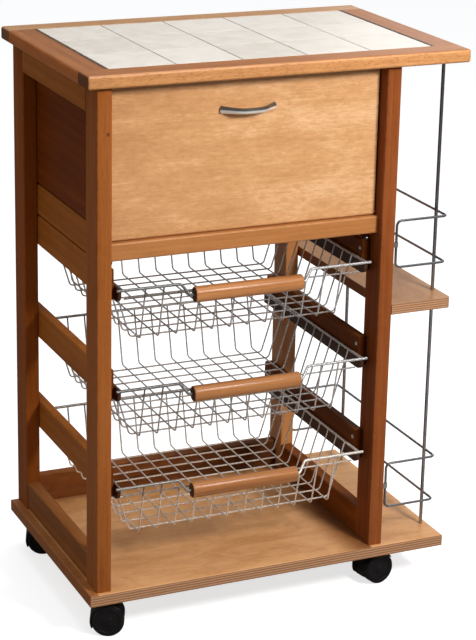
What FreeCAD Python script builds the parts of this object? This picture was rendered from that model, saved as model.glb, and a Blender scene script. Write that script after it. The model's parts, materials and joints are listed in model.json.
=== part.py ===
import FreeCAD, Part
import math
import os

Vector = FreeCAD.Vector
os.makedirs("parts", exist_ok=True)

# Kitchen cart, millimetres. X runs to the right seen from the front, Y to the back, Z up.
# The origin is on the floor under the middle of the worktop.

# Worktop: a tiled field in a wooden frame
total_height = 870.0
top_thickness = 20.0
top_end_width = 44.0
top_rail_width = 40.0
top_round = 4.0
tile_size = 101.5
tile_joint = 1.75
tile_columns = 5
tile_rows = 3
tile_thickness = 8.0
tile_chamfer = 0.8
grout_recess = 1.0

# Base board and posts
base_thickness = 18.0
base_inset_left = 6.5
base_inset_right = 0.5
base_inset_front = 8.75
base_round = 1.5
overhang_left = 19.0
bottle_bay_width = 107.0
overhang_front = 15.75
post_width = 23.0
post_depth = 47.0
post_round = 2.5

# Side rails, lapped on the inner faces of the posts
rail_thickness = 15.0
rail_height = 48.0
rail_round = 3.0
rail_lap = 14.0
rail_back_gap = 6.75
rail_rise = 138.5
rail_pitch = 155.0
rail_levels = ("lower", "middle", "upper")
board_seam = 2.5
ledge_rail_height = 48.5
apron_height = 45.0
apron_thickness = 18.0
bottom_rail_height = 46.0
bottom_rail_thickness = 20.0
bottom_rail_recess = 2.0
rear_rail_height = 48.0
rear_rail_thickness = 16.0
rear_rail_setback = 10.75

# Bread compartment and its drop flap
sill_lift = 40.0
sill_setback = 14.0
sill_height = 27.0
sill_thickness = 18.0
head_rail_height = 30.0
head_rail_thickness = 18.0
compartment_floor_thickness = 9.0
compartment_back_thickness = 6.0
flap_thickness = 16.0
flap_setback = 22.0
flap_side_gap = 2.0
flap_bottom_gap = 0.5
flap_top_gap = 3.0
flap_stop_gap = 1.0
flap_round = 1.5
pivot_inset = 4.0
pin_radius = 2.0
pin_clearance = 0.05
pin_depth = 10.0
pin_end_gap = 0.5
bow_length = 84.0
bow_shoulder = 26.0
bow_projection = 20.0
bow_radius = 4.0
bow_bend = 22.0
bow_drop = 48.0
bow_foot_radius = 5.0
bow_foot_thickness = 2.0
catch_width = 40.0
catch_height = 12.0
catch_depth = 14.0
catch_gap = 0.4
strike_height = 14.0
strike_thickness = 1.0

# Wires and bent rods have this many flats round their section
rod_sides = 8

# Wire baskets on runner strips
rim_radius = 2.25
rim_side_gap = 1.0
rim_stop_gap = 0.5
rim_depth = 348.0
rim_reach = 7.25
rim_bend = 6.0
rim_dip_run = 12.0
wire_size = 2.5
wire_weld = 0.25
long_pitch = 29.0
cross_pitch = 29.0
basket_height = 86.0
side_lean = 28.75
front_lean = 22.75
back_lean = 24.0
grip_length = 175.0
grip_height = 24.0
grip_depth = 21.0
grip_round = 8.0
grip_drop = 16.0
grip_forward = 7.0
runner_thickness = 4.7
runner_height = 17.0
runner_gap = 0.3
runner_nose = 12.0

# Bottle rack on the right side
shelf_rise = 399.0
shelf_thickness = 16.0
shelf_rod_margin = 8.2
shelf_corner = 8.0
rod_radius = 2.75
rod_clearance = 0.15
rod_socket = 8.0
rod_edge = 11.7
rod_inset_front = 45.0
rod_inset_back = 45.75
guard_radius = 2.0
guard_bend = 8.0
guard_standoff = 11.0
guard_low = 53.0
guard_high = 127.0
guard_inset_front = 19.0
guard_inset_back = 11.75
clip_length = 8.0
clip_thickness = 1.0
clip_flange = 6.0

# Twin-wheel casters
wheel_radius = 25.0
wheel_width = 15.0
wheel_chamfer = 1.5
wheel_dish = 1.5
wheel_dish_radius = 19.0
wheel_gap = 0.6
hood_gap = 0.8
hood_wall = 2.5
hood_start_angle = 38.0
hood_end_angle = 205.0
web_thickness = 9.0
web_hub_radius = 8.0
axle_radius = 2.5
axle_depth = 12.0
bearing_clearance = 0.05
king_pin_radius = 3.0
king_pin_length = 20.0
king_boss_radius = 8.0
swivel_gap = 0.4
caster_trail = 17.0
plate_size = 40.0
plate_thickness = 2.5
plate_corner = 5.0
caster_inset_front = 31.0
caster_inset_back = 37.75
caster_height = 60.0
caster_turns = {"front_left": -23.0, "front_right": 11.0, "rear_left": -20.0, "rear_right": -40.0}

# Places that several pieces share
field_width = tile_columns * tile_size + (tile_columns + 1) * tile_joint
field_depth = tile_rows * tile_size + (tile_rows + 1) * tile_joint
top_right = field_width / 2 + top_end_width
top_left = -top_right
top_back = field_depth / 2 + top_rail_width
top_front = -top_back
top_under = total_height - top_thickness
base_under = caster_height
base_top = base_under + base_thickness
base_left = top_left + base_inset_left
base_right = top_right - base_inset_right
base_front = top_front + base_inset_front
outer_left = top_left + overhang_left
outer_right = top_right - bottle_bay_width
inner_left = outer_left + post_width
inner_right = outer_right - post_width
carcass_mid = (outer_left + outer_right) / 2
post_front = top_front + overhang_front
post_back = top_back
span_front = post_front + post_depth
span_back = post_back - post_depth
rail_front = span_front - rail_lap
rail_back = post_back - rail_back_gap
rail_bottoms = [base_top + rail_rise + i * rail_pitch for i in range(len(rail_levels))]
ledge_rail_bottom = rail_bottoms[-1] + rail_height + board_seam
panel_bottom = ledge_rail_bottom + ledge_rail_height + board_seam
bay_half = (inner_right - inner_left) / 2 - rail_thickness
rim_rise = runner_height + runner_gap + rim_radius
sill_top = ledge_rail_bottom + sill_lift
sill_front = post_front + sill_setback
sill_back = sill_front + sill_thickness
flap_front = post_front + flap_setback
flap_back = flap_front + flap_thickness
flap_bottom = sill_top + flap_bottom_gap
flap_top = top_under - flap_top_gap
flap_left = inner_left + flap_side_gap
flap_right = inner_right - flap_side_gap
stop_front = flap_back + flap_stop_gap
pivot_y = flap_front + pivot_inset
pivot_z = flap_bottom + pivot_inset
rod_x = top_right - rod_edge
rod_ys = (post_front + rod_inset_front, post_back - rod_inset_back)
shelf_top = base_top + shelf_rise
shelf_under = shelf_top - shelf_thickness
along_x = Vector(1, 0, 0)
along_y = Vector(0, 1, 0)
along_z = Vector(0, 0, 1)
near = 1e-4


def export(name, *solids):
    shape = solids[0] if len(solids) == 1 else Part.makeCompound(list(solids))
    shape.exportStep("parts/%s.step" % name)


def block(x0, x1, y0, y1, z0, z1):
    return Part.makeBox(x1 - x0, y1 - y0, z1 - z0, Vector(x0, y0, z0))


def middle(edge):
    return edge.BoundBox.Center


def runs_along(edge, axis):
    return abs(abs((edge.Vertexes[-1].Point - edge.Vertexes[0].Point).normalize() * axis) - 1) < near


def rounded(shape, radius, wanted):
    return shape.makeFillet(radius, [edge for edge in shape.Edges if wanted(edge)])


def board(x0, x1, y0, y1, z0, z1, radius, axis):
    # A planed board whose four long arrises are rounded
    return rounded(block(x0, x1, y0, y1, z0, z1), radius, lambda edge: runs_along(edge, axis))


def extruded(points, travel):
    return Part.Face(Part.makePolygon(points + points[:1])).extrude(travel)


def rod_section(centre, heading, binormal, radius):
    # A regular polygon inside the rod's circle, with flats square to the binormal
    normal = binormal.cross(heading)
    turns = [2 * math.pi * (k + 0.5) / rod_sides for k in range(rod_sides)]
    points = [
        centre + normal * (radius * math.cos(turn)) + binormal * (radius * math.sin(turn)) for turn in turns
    ]
    return Part.Face(Part.makePolygon(points + points[:1]))


def straight_rod(start, end, binormal, radius):
    run = end - start
    heading = Vector(run).normalize()
    return rod_section(start, heading, binormal, radius).extrude(run)


def bent_rod(points, radius, bend, closed=False):
    # A rod along straight runs, joined at each corner by a tangent bend
    count = len(points)
    corners = range(count) if closed else range(1, count - 1)
    stops = {} if closed else {0: (points[0], points[0]), count - 1: (points[-1], points[-1])}
    binormals = {}
    pieces = []
    for i in corners:
        heading = (points[i] - points[i - 1]).normalize()
        leaving = (points[(i + 1) % count] - points[i]).normalize()
        turn = heading.getAngle(leaving)
        reach = bend * math.tan(turn / 2)
        start = points[i] - heading * reach
        stops[i] = (start, points[i] + leaving * reach)
        binormals[i] = heading.cross(leaving).normalize()
        centre = points[i] + (leaving - heading).normalize() * (bend / math.cos(turn / 2))
        section = rod_section(start, heading, binormals[i], radius)
        pieces.append(section.revolve(centre, binormals[i], math.degrees(turn)))
    for i in range(count if closed else count - 1):
        after = stops[(i + 1) % count][0]
        pieces.append(straight_rod(stops[i][1], after, binormals.get(i, binormals[corners[0]]), radius))
    return pieces[0].multiFuse(pieces[1:]).removeSplitter()


# Worktop frame: the front and rear rails run through, the ends stand between them
def make_worktop():
    for name, outer, inner in (("front", top_front, -field_depth / 2), ("rear", top_back, field_depth / 2)):
        rail = block(top_left, top_right, min(outer, inner), max(outer, inner), top_under, total_height)

        def outside(edge):
            spot = middle(edge)
            at_end = abs(abs(spot.x) - top_right) < near
            return abs(spot.y - outer) < near or (at_end and abs(spot.y - inner) > near)

        export("worktop_rail_%s" % name, rounded(rail, top_round, outside))
    for name, outer, inner in (("left", top_left, -field_width / 2), ("right", top_right, field_width / 2)):
        end = block(min(outer, inner), max(outer, inner), -field_depth / 2, field_depth / 2, top_under, total_height)

        def on_outer_face(edge):
            spot = middle(edge)
            return abs(spot.x - outer) < near and runs_along(edge, along_y)

        end = rounded(end, top_round, on_outer_face)
        if name == "right":
            for y in rod_ys:
                end = end.cut(rod_hole(y, top_under, top_under + rod_socket))
        export("worktop_end_%s" % name, end)

    tile_under = total_height - tile_thickness
    export(
        "tile_bed",
        block(-field_width / 2, field_width / 2, -field_depth / 2, field_depth / 2, top_under, tile_under),
    )
    pitch = tile_size + tile_joint
    tiles = []
    footprints = []
    for row in range(tile_rows):
        for column in range(tile_columns):
            x = -field_width / 2 + tile_joint + column * pitch
            y = -field_depth / 2 + tile_joint + row * pitch
            tile = block(x, x + tile_size, y, y + tile_size, tile_under, total_height)
            arrises = [edge for edge in tile.Edges if abs(middle(edge).z - total_height) < near]
            tiles.append(tile.makeChamfer(tile_chamfer, arrises))
            footprints.append(Part.makePlane(tile_size, tile_size, Vector(x, y, tile_under)).OuterWire)
    export("tiles", *tiles)
    field = Part.makePlane(field_width, field_depth, Vector(-field_width / 2, -field_depth / 2, tile_under))
    grout_face = Part.Face([field.OuterWire] + footprints)
    export("tile_grout", grout_face.extrude(along_z * (tile_thickness - grout_recess)))


def rod_hole(y, z0, z1):
    return Part.makeCylinder(rod_radius + rod_clearance, z1 - z0, Vector(rod_x, y, z0), along_z)


# Carcass: base board, posts, aprons and the rails that tie the posts together
def make_carcass():
    base = rounded(
        block(base_left, base_right, base_front, top_back, base_under, base_top),
        base_round,
        lambda edge: abs(middle(edge).z - base_top) < near,
    )
    for y in rod_ys:
        base = base.cut(rod_hole(y, base_top - rod_socket, base_top))
    export("base_board", base)

    for side, x0 in (("left", outer_left), ("right", inner_right)):
        for end, y0 in (("front", post_front), ("rear", span_back)):
            post = board(x0, x0 + post_width, y0, y0 + post_depth, base_top, top_under, post_round, along_z)
            if end == "front":
                inner = inner_left if side == "left" else inner_right
                outward = -1 if side == "left" else 1
                depth = pin_depth + pin_end_gap
                bore = Part.makeCylinder(
                    pin_radius + pin_clearance, depth, Vector(inner, pivot_y, pivot_z), along_x * outward
                )
                post = post.cut(bore)
            export("post_%s_%s" % (end, side), post)

    for side in ("left", "right"):
        make_side(side)

    rear_back = post_back - rear_rail_setback
    export(
        "bottom_rail_rear",
        board(
            inner_left, inner_right, rear_back - rear_rail_thickness, rear_back,
            base_top, base_top + rear_rail_height, rail_round, along_x,
        ),
    )


def make_side(side):
    # Boards of one side: the lapped rails and panel lie against the inner faces of the posts
    if side == "left":
        lap0, lap1 = inner_left, inner_left + rail_thickness
        apron0, apron1 = outer_left, outer_left + apron_thickness
        bottom0 = outer_left + bottom_rail_recess
    else:
        lap0, lap1 = inner_right - rail_thickness, inner_right
        apron0, apron1 = outer_right - apron_thickness, outer_right
        bottom0 = outer_right - bottom_rail_recess - bottom_rail_thickness
    for level, z0 in zip(rail_levels, rail_bottoms):
        rail = board(lap0, lap1, rail_front, rail_back, z0, z0 + rail_height, rail_round, along_y)
        export("basket_rail_%s_%s" % (level, side), rail)
    ledge_top = ledge_rail_bottom + ledge_rail_height
    export(
        "compartment_rail_%s" % side,
        board(lap0, lap1, stop_front, rail_back, ledge_rail_bottom, ledge_top, rail_round, along_y),
    )
    export(
        "side_panel_%s" % side,
        rounded(
            block(lap0, lap1, stop_front, rail_back, panel_bottom, top_under),
            rail_round,
            lambda edge: runs_along(edge, along_y) and abs(middle(edge).z - panel_bottom) < near,
        ),
    )
    export(
        "apron_%s" % side,
        rounded(
            block(apron0, apron1, span_front, span_back, top_under - apron_height, top_under),
            rail_round,
            lambda edge: runs_along(edge, along_y) and middle(edge).z < top_under - near,
        ),
    )
    export(
        "bottom_rail_%s" % side,
        board(
            bottom0, bottom0 + bottom_rail_thickness, span_front, span_back,
            base_top, base_top + bottom_rail_height, rail_round, along_y,
        ),
    )


# Bread compartment: sill, head rail, floor and back between the side boards
def make_compartment():
    lap_left = inner_left + rail_thickness
    lap_right = inner_right - rail_thickness
    export(
        "flap_sill",
        rounded(
            block(inner_left, inner_right, sill_front, sill_back, sill_top - sill_height, sill_top),
            rail_round,
            lambda edge: runs_along(edge, along_x) and abs(middle(edge).y - sill_front) < near,
        ),
    )
    export(
        "head_rail",
        block(
            lap_left, lap_right, stop_front, stop_front + head_rail_thickness,
            top_under - head_rail_height, top_under,
        ),
    )
    export(
        "compartment_floor",
        block(lap_left, lap_right, sill_back, rail_back, sill_top - compartment_floor_thickness, sill_top),
    )
    export(
        "compartment_back",
        block(
            inner_left, inner_right, rail_back, rail_back + compartment_back_thickness,
            sill_top - sill_height, top_under,
        ),
    )


# Drop flap: turns on two pins in its lower corners and rests on the sill when it is open
def make_flap():
    flap = block(flap_left, flap_right, flap_front, flap_back, flap_bottom, flap_top)
    lower_front = [
        edge
        for edge in flap.Edges
        if runs_along(edge, along_x)
        and abs(middle(edge).z - flap_bottom) < near
        and abs(middle(edge).y - flap_front) < near
    ]
    flap = flap.makeFillet(pivot_inset, lower_front)

    def other_front_arris(edge):
        return abs(middle(edge).y - flap_front) < near and middle(edge).z > pivot_z + near

    flap = rounded(flap, flap_round, other_front_arris)
    pins = []
    for end, inward in ((flap_left, 1), (flap_right, -1)):
        seat = Vector(end, pivot_y, pivot_z)
        flap = flap.cut(Part.makeCylinder(pin_radius, pin_depth, seat, along_x * inward))
        far = seat - along_x * (inward * (flap_side_gap + pin_depth))
        pins.append(
            Part.makeCylinder(pin_radius, flap_side_gap + 2 * pin_depth, far, along_x * inward)
        )
    export("flap_pins", *pins)

    catch_top = top_under - head_rail_height
    catch_mid = catch_top - catch_height / 2
    strike = block(
        carcass_mid - catch_width / 2, carcass_mid + catch_width / 2,
        flap_back - strike_thickness, flap_back,
        catch_mid - strike_height / 2, catch_mid + strike_height / 2,
    )
    export("flap", flap.cut(strike))
    export("catch_strike", strike)
    catch_front = flap_back + catch_gap
    export(
        "magnetic_catch",
        block(
            carcass_mid - catch_width / 2, carcass_mid + catch_width / 2,
            catch_front, catch_front + catch_depth, catch_top - catch_height, catch_top,
        ),
    )

    bow_z = flap_top - bow_drop
    left_foot = Vector(carcass_mid - bow_length / 2, flap_front, bow_z)
    right_foot = Vector(carcass_mid + bow_length / 2, flap_front, bow_z)
    out = Vector(bow_shoulder, -bow_projection, 0)
    back_out = Vector(-bow_shoulder, -bow_projection, 0)
    bow = bent_rod([left_foot, left_foot + out, right_foot + back_out, right_foot], bow_radius, bow_bend)
    feet = [
        Part.makeCylinder(bow_foot_radius, bow_foot_thickness, foot, -along_y) for foot in (left_foot, right_foot)
    ]
    room = block(flap_left, flap_right, top_front - flap_thickness, flap_front, flap_bottom, flap_top)
    export("flap_handle", bow.multiFuse(feet).common(room))


# Wire baskets: a floor grid, four combs of wall wires with their rim, and a wooden grip
def make_baskets():
    rim_half = bay_half - rim_side_gap - rim_radius
    rim_front = sill_front - rim_stop_gap - rim_radius
    rim_back = rim_front + rim_depth
    floor_half = rim_half - side_lean
    floor_front = rim_front + front_lean
    floor_back = rim_back - back_lean
    floor_top = -basket_height
    floor_mid = (floor_front + floor_back) / 2
    half = wire_size / 2
    rim_flat = rim_radius * math.cos(math.pi / rod_sides)
    weld_inset = rim_flat + half - wire_weld
    long_xs = wire_places(0, floor_half, long_pitch)
    cross_ys = wire_places(floor_mid, (floor_back - floor_front) / 2, cross_pitch)
    floor_under = floor_top - wire_size

    bars = [block(x - half, x + half, floor_front, floor_back, floor_under, floor_top) for x in long_xs]
    bars += [block(-floor_half, floor_half, y - half, y + half, floor_under, floor_top) for y in cross_ys]
    floor = bars[0].multiFuse(bars[1:]).removeSplitter()

    solids = [floor]
    for sign in (-1, 1):
        rim_x = sign * rim_half
        rim_start = Vector(rim_x, rim_front + rim_radius, 0)
        rim = straight_rod(rim_start, Vector(rim_x, rim_back, 0), along_z, rim_radius)
        foot_x = sign * (floor_half - half)
        head_x = sign * (rim_half - weld_inset)
        comb = [wall_wire(Vector(foot_x, y, floor_top), Vector(head_x, y, 0), along_y) for y in cross_ys]
        solids.append(rim.multiFuse(comb))

    back_rim_half = rim_half - rim_radius
    rim_end = Vector(back_rim_half, rim_back, 0)
    rim = straight_rod(Vector(-back_rim_half, rim_back, 0), rim_end, along_z, rim_radius)
    foot_y = floor_back - half
    head_y = rim_back - weld_inset
    comb = [wall_wire(Vector(x, foot_y, floor_top), Vector(x, head_y, 0), along_x) for x in long_xs]
    solids.append(rim.multiFuse(comb))

    grip_y = rim_front - grip_forward
    dip = Vector(rim_dip_run, -grip_forward, -grip_drop)
    dip_x = grip_length / 2 + rim_dip_run + rim_bend
    rim_tip = rim_half + rim_reach
    rim = bent_rod(
        [
            Vector(-rim_tip, rim_front, 0),
            Vector(-dip_x, rim_front, 0),
            Vector(-dip_x, rim_front, 0) + dip,
            Vector(dip_x - rim_dip_run, grip_y, -grip_drop),
            Vector(dip_x, rim_front, 0),
            Vector(rim_tip, rim_front, 0),
        ],
        rim_radius,
        rim_bend,
    )
    foot_y = floor_front + half
    head_y = rim_front + weld_inset
    share = grip_drop / basket_height
    low_y = head_y + (foot_y - head_y) * share
    low_half = rim_half - rim_radius - side_lean * share
    comb = []
    for x in long_xs:
        head = Vector(x, head_y, 0) if abs(x) > dip_x else Vector(x, low_y, -grip_drop)
        comb.append(wall_wire(Vector(x, foot_y, floor_top), head, along_x))
    tie_y = low_y + half - wire_weld
    tie = block(-low_half, low_half, tie_y, tie_y + wire_size, -grip_drop - half, -grip_drop + half)
    solids.append(rim.multiFuse(comb + [tie]))

    grip = board(
        -grip_length / 2, grip_length / 2, grip_y - grip_depth / 2, grip_y + grip_depth / 2,
        -grip_drop - grip_height / 2, -grip_drop + grip_height / 2, grip_round, along_x,
    )
    bore_start = Vector(-grip_length / 2, grip_y, -grip_drop)
    grip = grip.cut(Part.makeCylinder(rim_radius, grip_length, bore_start, along_x))

    for level, z0 in zip(rail_levels, rail_bottoms):
        place = Vector(carcass_mid, 0, z0 + rim_rise)
        export("basket_%s" % level, *[solid.translated(place) for solid in solids])
        export("basket_grip_%s" % level, grip.translated(place))
        make_runners(level, z0)


def wire_places(centre, half_span, pitch):
    # As many pairs of wires as the span holds, evenly spaced about its centre
    pairs = int((half_span - wire_size / 2) / pitch + 0.5)
    return [centre + (i + 0.5) * pitch for i in range(-pairs, pairs)]


def wall_wire(foot, head, width_axis):
    # A leaning wire of square section, cut level at both ends
    half = wire_size / 2
    across = along_z.cross(width_axis)
    start = width_axis * -half
    points = [foot - across * half, foot + across * half, head + across * half, head - across * half]
    return extruded([point + start for point in points], width_axis * wire_size)


def make_runners(level, bottom):
    strips = []
    top = bottom + runner_height
    for x0 in (carcass_mid - bay_half, carcass_mid + bay_half - runner_thickness):
        strip = block(x0, x0 + runner_thickness, sill_front, rail_back, bottom, top)

        def nose(edge):
            spot = middle(edge)
            at_front = abs(spot.y - sill_front) < near
            return at_front and runs_along(edge, along_x) and spot.z < top - near

        strips.append(rounded(strip, runner_nose, nose))
    export("runners_%s" % level, *strips)


# Bottle rack: shelf, upright rods and two closed wire guards clipped to the posts
def make_bottle_rack():
    shelf_right = rod_x + shelf_rod_margin
    shelf = rounded(
        block(outer_right, shelf_right, post_front, top_back, shelf_under, shelf_top),
        shelf_corner,
        lambda edge: runs_along(edge, along_z) and abs(middle(edge).x - shelf_right) < near,
    )
    for y in rod_ys:
        shelf = shelf.cut(rod_hole(y, shelf_under, shelf_top))
    export("bottle_shelf", shelf)

    rod_bottom = base_top - rod_socket
    rod_length = top_under + rod_socket - rod_bottom
    export(
        "rack_rods",
        *[Part.makeCylinder(rod_radius, rod_length, Vector(rod_x, y, rod_bottom), along_z) for y in rod_ys]
    )

    near_x = outer_right + guard_standoff + guard_radius
    far_x = rod_x + rod_radius + guard_radius
    front_y = post_front + guard_inset_front
    back_y = post_back - guard_inset_back
    clips = []
    for name, floor_z in (("lower", base_top), ("upper", shelf_top)):
        low = floor_z + guard_low
        high = floor_z + guard_high
        loop = [
            Vector(near_x, front_y, low),
            Vector(near_x, front_y, high),
            Vector(far_x, front_y, high),
            Vector(far_x, back_y, high),
            Vector(near_x, back_y, high),
            Vector(near_x, back_y, low),
            Vector(far_x, back_y, low),
            Vector(far_x, front_y, low),
        ]
        export("bottle_guard_%s" % name, bent_rod(loop, guard_radius, guard_bend, closed=True))
        clips += [spacer_clip(near_x, y, (low + high) / 2) for y in (front_y, back_y)]
    export("guard_clips", *clips)


def spacer_clip(x, y, z):
    # A block that holds the wire off the post, with a flange on each side flat against the post
    outer = guard_radius + clip_thickness
    low = z - clip_length / 2
    eye = Part.makeCylinder(outer, clip_length, Vector(x, y, low), along_z)
    neck = block(outer_right, x, y - outer, y + outer, low, low + clip_length)
    flange_half = outer + clip_flange
    flange = block(
        outer_right, outer_right + clip_thickness, y - flange_half, y + flange_half, low, low + clip_length
    )
    wire = Part.makeCylinder(guard_radius, clip_length, Vector(x, y, low), along_z)
    return eye.multiFuse([neck, flange]).cut(wire).removeSplitter()


# Casters: plate and king pin under the base, hooded swivel body, twin wheels on one axle
def make_casters():
    axis_x = {"left": (outer_left + inner_left) / 2, "right": (outer_right + inner_right) / 2}
    axis_y = {"front": post_front + caster_inset_front, "rear": post_back - caster_inset_back}
    plate_under = caster_height - plate_thickness
    plate = board(
        -plate_size / 2, plate_size / 2, -plate_size / 2, plate_size / 2,
        plate_under, caster_height, plate_corner, along_z,
    )
    pin_foot = Vector(0, 0, plate_under - king_pin_length)
    plate = plate.fuse(Part.makeCylinder(king_pin_radius, king_pin_length, pin_foot, along_z))
    hood = make_hood(plate_under)
    wheels = make_wheels()
    plates = []
    for corner, turn in caster_turns.items():
        end, side = corner.split("_")
        place = Vector(axis_x[side], axis_y[end], 0)
        plates.append(plate.translated(place))
        export("caster_hood_%s" % corner, turned(hood, turn).translated(place))
        export("caster_wheels_%s" % corner, *[turned(solid, turn).translated(place) for solid in wheels])
    export("caster_plates", *plates)


def turned(shape, degrees):
    return shape.rotated(Vector(0, 0, 0), along_z, degrees)


def arc_point(radius, degrees, y):
    angle = math.radians(degrees)
    return Vector(caster_trail + radius * math.cos(angle), y, wheel_radius + radius * math.sin(angle))


def sector(radius, inner_radius, half_width):
    # A ring sector around the axle, from the trailing side over the top to the king pin side
    mid_angle = (hood_start_angle + hood_end_angle) / 2
    stops = (hood_start_angle, mid_angle, hood_end_angle)
    outer = Part.Arc(*[arc_point(radius, angle, -half_width) for angle in stops])
    inner = Part.Arc(*[arc_point(inner_radius, angle, -half_width) for angle in reversed(stops)])
    edges = [
        outer.toShape(),
        Part.makeLine(outer.EndPoint, inner.StartPoint),
        inner.toShape(),
        Part.makeLine(inner.EndPoint, outer.StartPoint),
    ]
    return Part.Face(Part.Wire(edges)).extrude(along_y * (2 * half_width))


def axle_cylinder(radius, half_width):
    return Part.makeCylinder(
        radius, 2 * half_width, Vector(caster_trail, -half_width, wheel_radius), along_y
    )


def make_hood(plate_under):
    half_width = web_thickness / 2 + wheel_gap + wheel_width
    inner_radius = wheel_radius + hood_gap
    outer_radius = inner_radius + hood_wall
    boss_foot = Vector(0, 0, wheel_radius)
    boss = Part.makeCylinder(king_boss_radius, plate_under - swivel_gap - wheel_radius, boss_foot, along_z)
    boss = boss.cut(axle_cylinder(inner_radius, half_width))
    guard = sector(outer_radius, inner_radius, half_width)
    web = sector(inner_radius, web_hub_radius - hood_wall, web_thickness / 2)
    hub = axle_cylinder(web_hub_radius, web_thickness / 2)
    hood = guard.multiFuse([web, hub, boss]).removeSplitter()
    pin_room = king_pin_length + swivel_gap
    pin_bore = Part.makeCylinder(
        king_pin_radius + bearing_clearance, pin_room, Vector(0, 0, plate_under - pin_room), along_z
    )
    return hood.cut(pin_bore).cut(axle_cylinder(axle_radius + bearing_clearance, half_width))


def make_wheels():
    # The wheel's profile, as radius and place along the axle, turned round the axle
    inner = web_thickness / 2 + wheel_gap
    outer = inner + wheel_width
    bore_end = inner + axle_depth
    profile = [
        (axle_radius, inner),
        (wheel_radius, inner),
        (wheel_radius, outer - wheel_chamfer),
        (wheel_radius - wheel_chamfer, outer),
        (wheel_dish_radius, outer),
        (wheel_dish_radius - wheel_dish, outer - wheel_dish),
        (0, outer - wheel_dish),
        (0, bore_end),
        (axle_radius, bore_end),
    ]
    solids = [axle_cylinder(axle_radius, bore_end)]
    for sign in (-1, 1):
        points = [Vector(caster_trail, sign * place, wheel_radius + radius) for radius, place in profile]
        face = Part.Face(Part.makePolygon(points + points[:1]))
        wheel = face.revolve(Vector(caster_trail, 0, wheel_radius), along_y, 360)
        solids.append(wheel)
    return solids


make_worktop()
make_carcass()
make_compartment()
make_flap()
make_baskets()
make_bottle_rack()
make_casters()
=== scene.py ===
import json
import math

import bmesh
import bpy
import numpy as np
from mathutils import Matrix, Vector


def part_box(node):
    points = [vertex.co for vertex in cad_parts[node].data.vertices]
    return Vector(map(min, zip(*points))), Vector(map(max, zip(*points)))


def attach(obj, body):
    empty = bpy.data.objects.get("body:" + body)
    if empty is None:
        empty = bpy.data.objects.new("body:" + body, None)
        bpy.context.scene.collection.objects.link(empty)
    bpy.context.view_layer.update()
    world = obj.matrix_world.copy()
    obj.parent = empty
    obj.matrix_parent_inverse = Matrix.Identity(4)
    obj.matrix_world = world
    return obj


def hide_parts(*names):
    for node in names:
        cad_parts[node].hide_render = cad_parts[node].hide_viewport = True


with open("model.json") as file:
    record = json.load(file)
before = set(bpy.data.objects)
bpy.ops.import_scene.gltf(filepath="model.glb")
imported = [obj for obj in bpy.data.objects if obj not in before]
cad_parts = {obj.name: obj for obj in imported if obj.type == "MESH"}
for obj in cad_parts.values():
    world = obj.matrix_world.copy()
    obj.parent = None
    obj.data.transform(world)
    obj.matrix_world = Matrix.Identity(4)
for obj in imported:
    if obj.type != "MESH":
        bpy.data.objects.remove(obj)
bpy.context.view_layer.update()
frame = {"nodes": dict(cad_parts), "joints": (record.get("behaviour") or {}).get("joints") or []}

scene = bpy.context.scene
nodes = frame["nodes"]
joints = {joint["name"]: joint for joint in frame["joints"]}
levels = ("lower", "middle", "upper")
corners = ("front_left", "front_right", "rear_left", "rear_right")
mm = 0.001
alongX, alongY, alongZ = np.eye(3)
askew = (0.31, 0.52, 0.79)  # along no axis of any piece, to square a frame from
mergeGap = 0.001 * mm
print("frame loaded,", len(nodes), "nodes")


def boxOf(node):
    low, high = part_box(node)
    return np.array(low), np.array(high)


def unit(vectors):
    vectors = np.asarray(vectors, float)
    return vectors / np.linalg.norm(vectors, axis=-1, keepdims=True)


# surface helpers

def gridSurface(points, wrapRows=False, wrapColumns=True, capped=False):
    # points is rows by columns by 3; a face joins each point to its next in the row and in the column
    rows, columns = points.shape[:2]
    row = np.arange(rows if wrapRows else rows - 1)[:, None]
    column = np.arange(columns if wrapColumns else columns - 1)[None, :]
    nextRow = (row + 1) % rows
    nextColumn = (column + 1) % columns
    ring = ((row, column), (row, nextColumn), (nextRow, nextColumn), (nextRow, column))
    quads = np.stack([along * columns + across for along, across in ring], axis=-1)
    faces = quads.reshape(-1, 4).tolist()
    if capped:
        faces.append(np.arange(columns)[::-1].tolist())
        faces.append((np.arange(columns) + (rows - 1) * columns).tolist())
    return points.reshape(-1, 3), faces


def bentPath(points, bend, steps=7, closed=False):
    # each corner becomes an arc: centre + bend * (sin t * arriving - cos t * inward), t from 0 to the turn
    points = np.asarray(points, float)
    arriving = unit(points - np.roll(points, 1, axis=0))
    leaving = unit(np.roll(points, -1, axis=0) - points)
    inner = slice(None) if closed else slice(1, -1)
    arriving, leaving, corner = arriving[inner], leaving[inner], points[inner]
    cosine = np.clip((arriving * leaving).sum(axis=1), -1, 1)
    turn = np.arccos(cosine)
    inward = unit(leaving - arriving * cosine[:, None])
    centre = corner - arriving * (bend * np.tan(turn / 2))[:, None] + inward * bend
    t = turn[:, None, None] * np.linspace(0, 1, steps)[None, :, None]
    arcs = centre[:, None] + bend * (np.sin(t) * arriving[:, None] - np.cos(t) * inward[:, None])
    arcs = arcs.reshape(-1, 3)
    return arcs if closed else np.concatenate([points[:1], arcs, points[-1:]])


def tube(path, radius, sides=10, closed=False, flatness=1.0, across=(0.36, 0.48, 0.8)):
    # ring k is path point k + radius * (cos a * side + flatness * sin a * rise), square to the path there
    path = np.asarray(path, float)
    heading = np.roll(path, -1, axis=0) - np.roll(path, 1, axis=0) if closed else np.gradient(path, axis=0)
    heading = unit(heading)
    side = unit(np.cross(heading, across))
    rise = np.cross(side, heading)
    angle = np.linspace(0, 2 * np.pi, sides, endpoint=False)[None, :, None]
    radii = np.broadcast_to(radius, len(path))[:, None, None]
    ring = np.cos(angle) * side[:, None] + flatness * np.sin(angle) * rise[:, None]
    return gridSurface(path[:, None] + radii * ring, wrapRows=closed, capped=not closed)


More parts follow.
